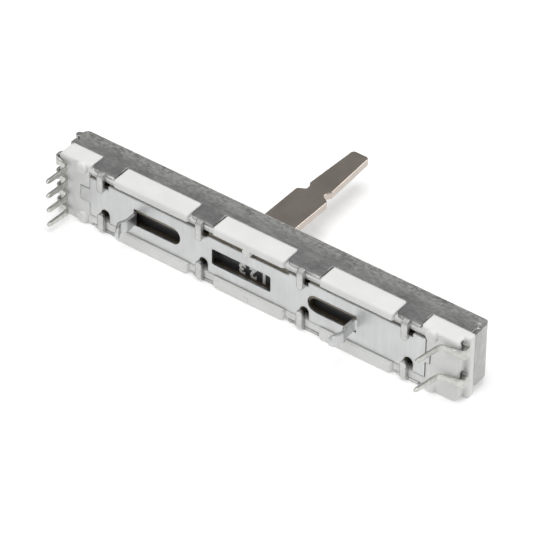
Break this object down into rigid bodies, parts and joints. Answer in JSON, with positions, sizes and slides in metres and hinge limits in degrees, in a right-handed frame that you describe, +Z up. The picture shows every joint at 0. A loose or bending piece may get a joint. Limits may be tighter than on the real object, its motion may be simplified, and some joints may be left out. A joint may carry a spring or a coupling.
{
  "type": "slide potentiometer",
  "caption": "Dual-gang slide potentiometer: long folded steel cover, white moulded body, tin-plated bottom plate with bent legs, pin terminals at both ends and a flat metal lever.",
  "frame": {"origin": "centre of the cover's face, midway between the two panel holes", "axes": "+X along the slot towards the end with two terminals, +Y the way the lever points, +Z up: the part lies on its long narrow side"},
  "size_m": [0.0608, 0.031, 0.0092],
  "materials": {
    "cover_steel": "dull zinc-plated steel with faint mottling",
    "white_plastic": "smooth white moulding",
    "tin_plate": "satin tin plate",
    "phenolic": "brown phenolic sheet",
    "black_board": "glossy black coating",
    "carbon": "printed carbon",
    "silver": "printed silver",
    "carrier_plastic": "smooth black moulding",
    "nickel": "bright nickel plate",
    "spring_bronze": "bare spring bronze",
    "terminal_tin": "dull tin plate",
    "rivet_brass": "bare brass"
  },
  "bodies": {
    "housing": {"cover": "cover_steel", "body": "white_plastic", "bottom_plate": "tin_plate", "insulator_board": "phenolic", "element_board": "black_board", "resistive_track_a": "carbon", "resistive_track_b": "carbon", "collector_track_a": "silver", "collector_track_b": "silver", "terminal_left_1": "terminal_tin", "terminal_left_2": "terminal_tin", "terminal_left_3": "terminal_tin", "terminal_left_4": "terminal_tin", "terminal_right_1": "terminal_tin", "terminal_right_2": "terminal_tin", "rivet_left_1": "rivet_brass", "rivet_left_2": "rivet_brass", "rivet_left_3": "rivet_brass", "rivet_left_4": "rivet_brass", "rivet_right_1": "rivet_brass", "rivet_right_2": "rivet_brass"},
    "slider": {"carrier": "carrier_plastic", "lever": "nickel", "wiper_a": "spring_bronze", "wiper_b": "spring_bronze", "drag_spring": "spring_bronze"}
  },
  "joints": [
    {"name": "lever_travel", "type": "slide", "parent": "housing", "child": "slider", "axis": [1, 0, 0], "range_m": [-0.01152, 0.01848]}
  ]
}
